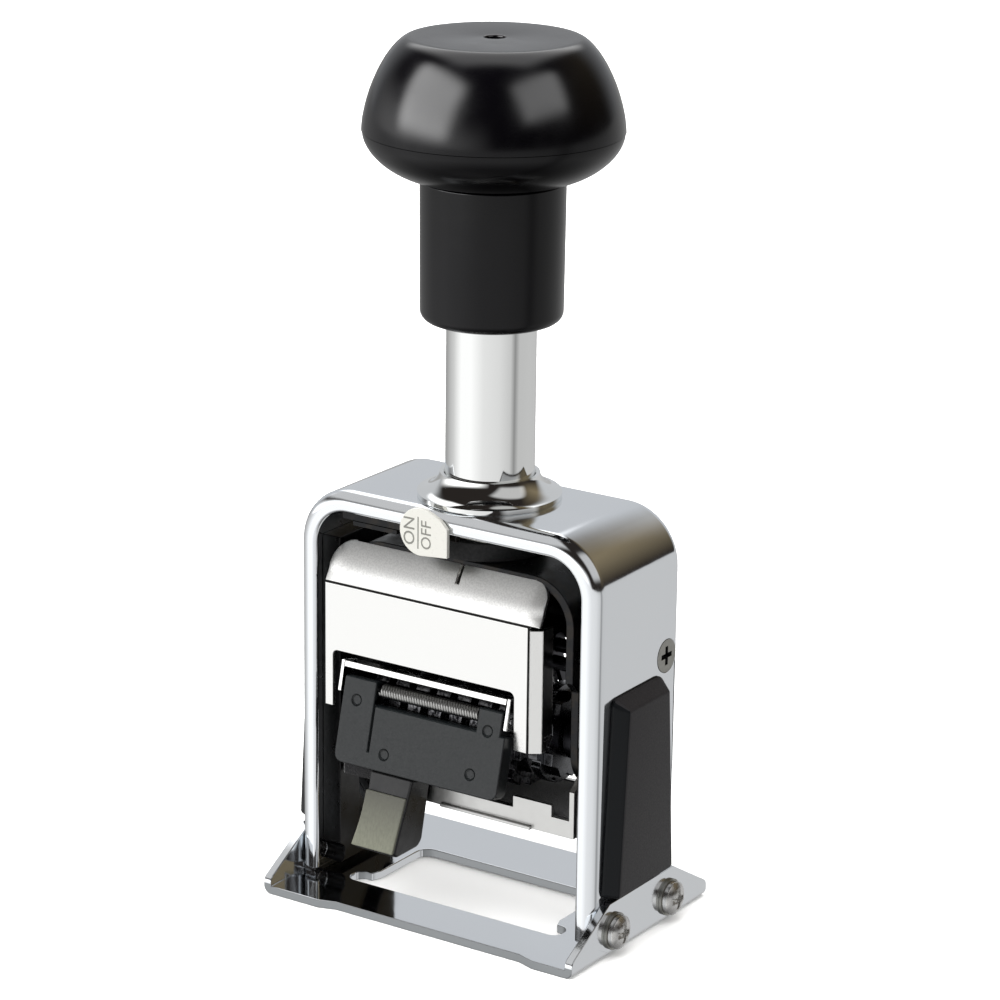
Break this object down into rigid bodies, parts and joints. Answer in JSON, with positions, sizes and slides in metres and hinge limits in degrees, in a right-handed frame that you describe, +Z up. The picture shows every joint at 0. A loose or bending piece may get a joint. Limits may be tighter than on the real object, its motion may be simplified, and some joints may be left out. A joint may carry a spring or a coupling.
{
  "type": "numbering machine",
  "caption": "Hand numbering machine: a sprung plunger under a round knob pushes type wheels down through a window in its base while the ink pad swings aside.",
  "frame": {"origin": "centre of the base plate's underside, on the plunger's axis", "axes": "+Z up along the plunger, -Y front towards the guard and the lock tab, +X to the right seen from the front"},
  "size_m": [0.0678, 0.043, 0.149],
  "materials": {
    "chrome_sheet": "bright chrome plate",
    "nickel_fixings": "nickel-plated steel",
    "grip_plastic": "fine matt, black",
    "handle_plastic": "polished black",
    "liner_plastic": "satin black",
    "lock_plate": "pale, sign side out",
    "black_steel": "black finish",
    "bright_steel": "ground steel",
    "spring_steel": "blued spring steel",
    "type_metal": "inked type",
    "dial_metal": "satin nickel",
    "tray_metal": "plain satin nickel",
    "pad_felt": "ink-soaked felt",
    "guard_plastic": "satin slate black",
    "foot_plastic": "satin black",
    "stop_rubber": "black rubber",
    "foot_rubber": "worn olive grey"
  },
  "bodies": {
    "frame": {"outer_frame": "chrome_sheet", "base_plate": "chrome_sheet", "base_screws": "nickel_fixings", "base_washers": "nickel_fixings", "side_grip_left": "grip_plastic", "side_grip_right": "grip_plastic", "guide_liner_left": "liner_plastic", "guide_liner_right": "liner_plastic", "liner_screws": "nickel_fixings", "guide_bush": "chrome_sheet", "bush_nut": "nickel_fixings", "lock_guide": "nickel_fixings"},
    "lock": {"lock_tab": "lock_plate"},
    "carriage": {"handle_knob": "handle_plastic", "handle_screw": "nickel_fixings", "handle_sleeve": "handle_plastic", "plunger_tube": "chrome_sheet", "yoke_nut": "nickel_fixings", "rubber_stop": "stop_rubber", "carriage_yoke": "black_steel", "front_cover": "chrome_sheet", "return_springs": "spring_steel", "wheel_shaft": "bright_steel", "shaft_spacers": "bright_steel", "hinge_bracket": "chrome_sheet", "detent_rod": "bright_steel", "detent_pawls": "spring_steel", "rocker_rod": "bright_steel", "guard_spring": "spring_steel"},
    "pad": {"pad_tray": "tray_metal", "ink_pad": "pad_felt", "follower_pins": "bright_steel"},
    "guard": {"guard_plate": "guard_plastic", "foot_lever": "foot_plastic", "foot_pad": "foot_rubber", "guard_pin": "bright_steel"},
    "rocker": {"pawl_rocker": "spring_steel"},
    "wheel_1": {"number_wheel_1": "type_metal"},
    "wheel_2": {"number_wheel_2": "type_metal"},
    "wheel_3": {"number_wheel_3": "type_metal"},
    "wheel_4": {"number_wheel_4": "type_metal"},
    "wheel_5": {"number_wheel_5": "type_metal"},
    "wheel_6": {"number_wheel_6": "type_metal"},
    "wheel_7": {"number_wheel_7": "type_metal"},
    "dial": {"repeat_dial": "dial_metal", "dial_ratchet": "dial_metal"}
  },
  "joints": [
    {"name": "plunger_slide", "type": "slide", "parent": "frame", "child": "carriage", "axis": [0, 0, -1], "range_m": [0, 0.0226], "stiffness_N_per_m": 400, "springref_m": -0.02, "deforming": ["return_springs"]},
    {"name": "lock_slide", "type": "slide", "parent": "frame", "child": "lock", "axis": [1, 0, 0], "range_m": [0, 0.004]},
    {"name": "pad_swing", "type": "hinge", "parent": "carriage", "child": "pad", "pos_m": [0, 0, 0.0332], "axis": [1, 0, 0], "range_deg": [0, 110]},
    {"name": "guard_swing", "type": "hinge", "parent": "carriage", "child": "guard", "pos_m": [0, -0.0122, 0.0382], "axis": [-1, 0, 0], "range_deg": [0, 65]},
    {"name": "rocker_swing", "type": "hinge", "parent": "carriage", "child": "rocker", "pos_m": [0, 0.0044, 0.0466], "axis": [1, 0, 0], "range_deg": [0, 6]},
    {"name": "wheel_1_turn", "type": "hinge", "parent": "carriage", "child": "wheel_1", "pos_m": [0, 0, 0.0332], "axis": [1, 0, 0], "continuous": true},
    {"name": "wheel_2_turn", "type": "hinge", "parent": "carriage", "child": "wheel_2", "pos_m": [0, 0, 0.0332], "axis": [1, 0, 0], "continuous": true},
    {"name": "wheel_3_turn", "type": "hinge", "parent": "carriage", "child": "wheel_3", "pos_m": [0, 0, 0.0332], "axis": [1, 0, 0], "continuous": true},
    {"name": "wheel_4_turn", "type": "hinge", "parent": "carriage", "child": "wheel_4", "pos_m": [0, 0, 0.0332], "axis": [1, 0, 0], "continuous": true},
    {"name": "wheel_5_turn", "type": "hinge", "parent": "carriage", "child": "wheel_5", "pos_m": [0, 0, 0.0332], "axis": [1, 0, 0], "continuous": true},
    {"name": "wheel_6_turn", "type": "hinge", "parent": "carriage", "child": "wheel_6", "pos_m": [0, 0, 0.0332], "axis": [1, 0, 0], "continuous": true},
    {"name": "wheel_7_turn", "type": "hinge", "parent": "carriage", "child": "wheel_7", "pos_m": [0, 0, 0.0332], "axis": [1, 0, 0], "continuous": true},
    {"name": "dial_turn", "type": "hinge", "parent": "carriage", "child": "dial", "pos_m": [0, 0, 0.0332], "axis": [1, 0, 0], "continuous": true}
  ],
  "couplings": [
    {"joint": "pad_swing", "follows": "plunger_slide", "rad_per_m": 84.94},
    {"joint": "guard_swing", "follows": "plunger_slide", "rad_per_m": 50.19},
    {"joint": "rocker_swing", "follows": "plunger_slide", "rad_per_m": 4.63}
  ]
}
